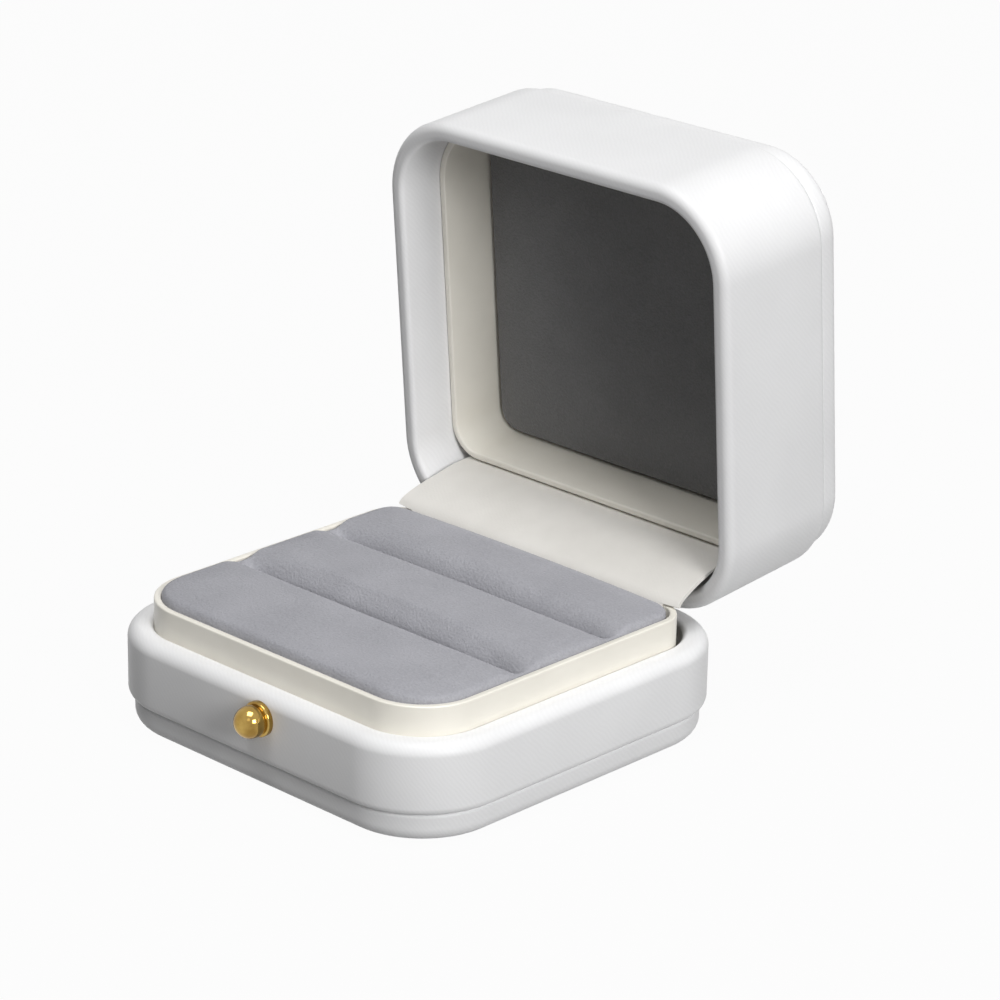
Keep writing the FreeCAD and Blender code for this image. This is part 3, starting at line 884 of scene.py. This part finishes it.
def flapPiece():
    s = flapSizes
    points = flapLine()
    form = bmesh.new()
    rows = []
    for share in evenLines(-1.0, 1.0, s["acrossStep"] / s["wideHalf"]):
        rows.append([form.verts.new((share * flapHalfWidth(p), p.y, p.z)) for p in points])
    fillRows(form, rows)
    mesh = newMesh("flap", form)
    mesh.materials.append(flapLeather)
    piece = linkNew("flap", mesh)
    thick = piece.modifiers.new("thick", "SOLIDIFY")
    thick.thickness = s["thickness"]
    thick.offset = 0.0
    plainMesh(piece)
    finishMesh(piece, creaseAngle=s["creaseAngle"])
    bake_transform(piece)
    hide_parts("hinge_cover")


flapPiece()
print("flap made")


# Ball stud

studSizes = {
    "ballStand": 2.0 * mm, "ballRadius": 2.5 * mm, "shankRadius": 0.9 * mm, "boreRadius": 1.0 * mm,
    "bead": 0.3 * mm, "turnSteps": 64, "ballSteps": 24, "beadSteps": 6, "creaseAngle": 30.0,
}
ballLow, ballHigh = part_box("ball_stud")
ringLow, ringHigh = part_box("stud_ferrule")
studMiddle = Vector(((ballLow.x + ballHigh.x) / 2, boxLow.y, (ballLow.z + ballHigh.z) / 2))
shankEnd = boxLow.y - ballHigh.y
ferruleOut = ringHigh.y - ringLow.y
ferruleRadius = (ringHigh.x - ringLow.x) / 2


def turnedPiece(name, profile, node):
    # profile points are (radius, distance out from the front face)
    x, y, z = studMiddle
    form = bmesh.new()
    points = [form.verts.new((x + radius, y - out, z)) for radius, out in profile]
    edges = [form.edges.new(pair) for pair in zip(points, points[1:])]
    bmesh.ops.spin(form, geom=points + edges, cent=studMiddle, axis=(0, 1, 0), angle=2 * math.pi,
                   steps=studSizes["turnSteps"])
    mesh = newMesh(name, form)
    mesh.materials.append(gold)
    piece = linkNew(name, mesh)
    finishMesh(piece, creaseAngle=studSizes["creaseAngle"])
    dress(piece, "base", "polished_gold", node)


def ballProfile():
    stand, radius, shank = (studSizes[key] for key in ("ballStand", "ballRadius", "shankRadius"))
    seat = math.degrees(math.asin((stand - ferruleOut) / radius))
    points = [(0, shankEnd), (shank, shankEnd), (shank, ferruleOut)]
    return points + arc(0, stand, radius, -seat, 90, studSizes["ballSteps"])


def ferruleProfile():
    bore, bead = studSizes["boreRadius"], studSizes["bead"]
    points = [(bore, 0), (ferruleRadius, 0)]
    points += arc(ferruleRadius - bead, ferruleOut - bead, bead, 0, 90, studSizes["beadSteps"])
    return points + [(bore, ferruleOut), (bore, 0)]


turnedPiece("ballStud", ballProfile(), "ball_stud")
turnedPiece("studFerrule", ferruleProfile(), "stud_ferrule")
print("stud made")


# Floor, light and camera

studio = {
    "keyPlace": (0.86, -0.22, 0.40), "keySize": 0.35, "keyPower": 6.0,
    "topPlace": (0.10, -0.16, 0.94), "topSize": 0.5, "topPower": 6.2,
    "frontPlace": (0.45, -0.70, 0.65), "frontSize": 0.3, "frontPower": 0.3,
    "aim": (0, 0.01, 0.035), "worldLevel": 0.06,
    "floorSize": 6.0, "floorColour": (0.28, 0.28, 0.28, 1.0), "floorRough": 0.9, "floorSeen": 0.965,
}


def aimedLamp(name, place, size, power):
    lamp = bpy.data.lights.new(name, "AREA")
    lamp.shape = "SQUARE"
    lamp.size = size
    lamp.energy = power
    piece = linkNew(name, lamp)
    piece.location = place
    toBox = Vector(studio["aim"]) - Vector(place)
    piece.rotation_euler = toBox.to_track_quat("-Z", "Y").to_euler()


for side in ("key", "top", "front"):
    aimedLamp(side + "Lamp", studio[side + "Place"], studio[side + "Size"], studio[side + "Power"])


def seenDirectly(tree, x, y):  # 1 for rays from the camera, mirrors and glass
    rays = addNode(tree, "ShaderNodeLightPath", (x, y)).outputs
    seen = mathNode(tree, "MAXIMUM", rays["Is Camera Ray"], rays["Is Glossy Ray"], (x + 200, y))
    return mathNode(tree, "MAXIMUM", seen, rays["Is Transmission Ray"], (x + 400, y))


def whiteWorld():
    world = bpy.data.worlds.new("studioWorld")
    world.use_nodes = True
    scene.world = world
    sky = world.node_tree
    backdrop = sky.nodes["Background"]
    backdrop.inputs["Color"].default_value = (1.0, 1.0, 1.0, 1.0)
    level = addNode(sky, "ShaderNodeMapRange", (-200, 0))
    level.inputs["To Min"].default_value = studio["worldLevel"]
    level.inputs["To Max"].default_value = 1.0
    feed(sky, seenDirectly(sky, -900, 0), level.inputs["Value"])
    feed(sky, level.outputs["Result"], backdrop.inputs["Strength"])


def paleFloor():
    material = bpy.data.materials.new("paleFloor")
    material.use_nodes = True
    tree = material.node_tree
    shader = tree.nodes["Principled BSDF"]
    shader.inputs["Base Color"].default_value = studio["floorColour"]
    shader.inputs["Roughness"].default_value = studio["floorRough"]
    shader.inputs["Specular IOR Level"].default_value = 0.0
    white = addNode(tree, "ShaderNodeEmission", (0, -300))
    mixed = addNode(tree, "ShaderNodeMixShader", (300, 0))
    seen = mathNode(tree, "MULTIPLY", seenDirectly(tree, -700, 300), studio["floorSeen"], (0, 300))
    feed(tree, seen, mixed.inputs["Fac"])
    feed(tree, shader.outputs["BSDF"], mixed.inputs[1])
    feed(tree, white.outputs["Emission"], mixed.inputs[2])
    feed(tree, mixed.outputs["Shader"], tree.nodes["Material Output"].inputs["Surface"])
    return material


whiteWorld()
floorForm = bmesh.new()
bmesh.ops.create_grid(floorForm, x_segments=1, y_segments=1, size=studio["floorSize"])
floor = linkNew("floor", newMesh("floor", floorForm))
floor.data.materials.append(paleFloor())

cameraView = {
    "azimuth": 43.725, "elevation": 20.962, "roll": 1.155, "distance": 586.612 * mm,
    "slideRight": 12.255 * mm, "slideUp": 10.469 * mm, "target": (0, 0, 25 * mm),
    "lens": 139.517, "sensor": 36.0, "clipStart": 0.01,
}


def placeCamera():
    view = cameraView
    azimuth, elevation, roll = (math.radians(view[key]) for key in ("azimuth", "elevation", "roll"))
    flat = math.cos(elevation)
    back = Vector((math.sin(azimuth) * flat, -math.cos(azimuth) * flat, math.sin(elevation)))
    levelRight = Vector((0, 0, 1)).cross(back).normalized()
    levelUp = back.cross(levelRight)
    right = levelRight * math.cos(roll) + levelUp * math.sin(roll)
    up = levelUp * math.cos(roll) - levelRight * math.sin(roll)
    lens = bpy.data.cameras.new("camera")
    lens.lens = view["lens"]
    lens.sensor_width = view["sensor"]
    lens.clip_start = view["clipStart"]
    camera = linkNew("camera", lens)
    place = Vector(view["target"]) + back * view["distance"]
    place += right * view["slideRight"] + up * view["slideUp"]
    turn = Matrix((right, up, back)).transposed().to_4x4()
    camera.matrix_world = Matrix.Translation(place) @ turn
    scene.camera = camera


placeCamera()
scene.view_settings.view_transform = "Standard"
print("studio set")
